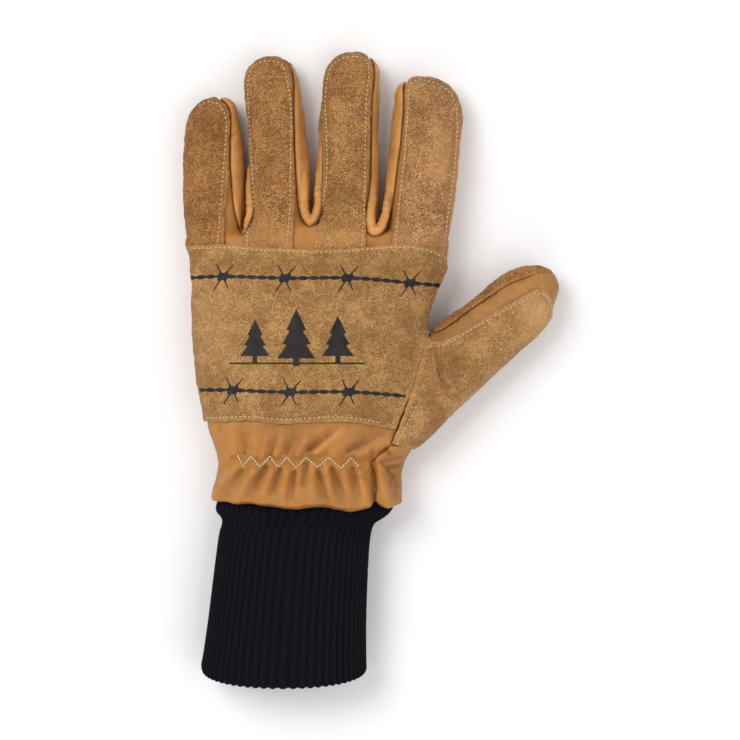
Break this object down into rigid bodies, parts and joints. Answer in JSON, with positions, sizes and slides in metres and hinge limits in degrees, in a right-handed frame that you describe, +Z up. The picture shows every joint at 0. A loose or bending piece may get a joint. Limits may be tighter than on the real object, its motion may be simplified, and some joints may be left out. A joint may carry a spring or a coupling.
{
  "type": "forestry work glove",
  "caption": "Left-hand leather work glove with suede panels over the back, fingers and thumb, a gathered elastic wrist and a black rib-knit cuff, lying on its palm.",
  "frame": {"origin": "on the table under the middle of the glove's bounding box", "axes": "+Z up from the palm side on the table to the back of the hand, +Y from the cuff to the fingertips, +X from the little finger to the thumb"},
  "size_m": [0.1626, 0.2758, 0.037],
  "materials": {
    "suede": "napped split leather, matt",
    "grain": "smooth wrinkled grain leather, soft sheen",
    "knit": "rib knit, matt"
  },
  "bodies": {
    "root": {"palm_leather": "grain", "back_leather": "grain", "fourchette_pinky_ring": "grain", "fourchette_ring_middle": "grain", "fourchette_middle_index": "grain", "thumb_front_leather": "grain", "thumb_back_leather": "grain", "pinky_strip": "suede", "ring_strip": "suede", "middle_strip": "suede", "index_strip": "suede", "back_patch": "suede", "thumb_patch": "suede", "thumb_front_patch": "suede", "knit_cuff": "knit"}
  },
  "joints": []
}
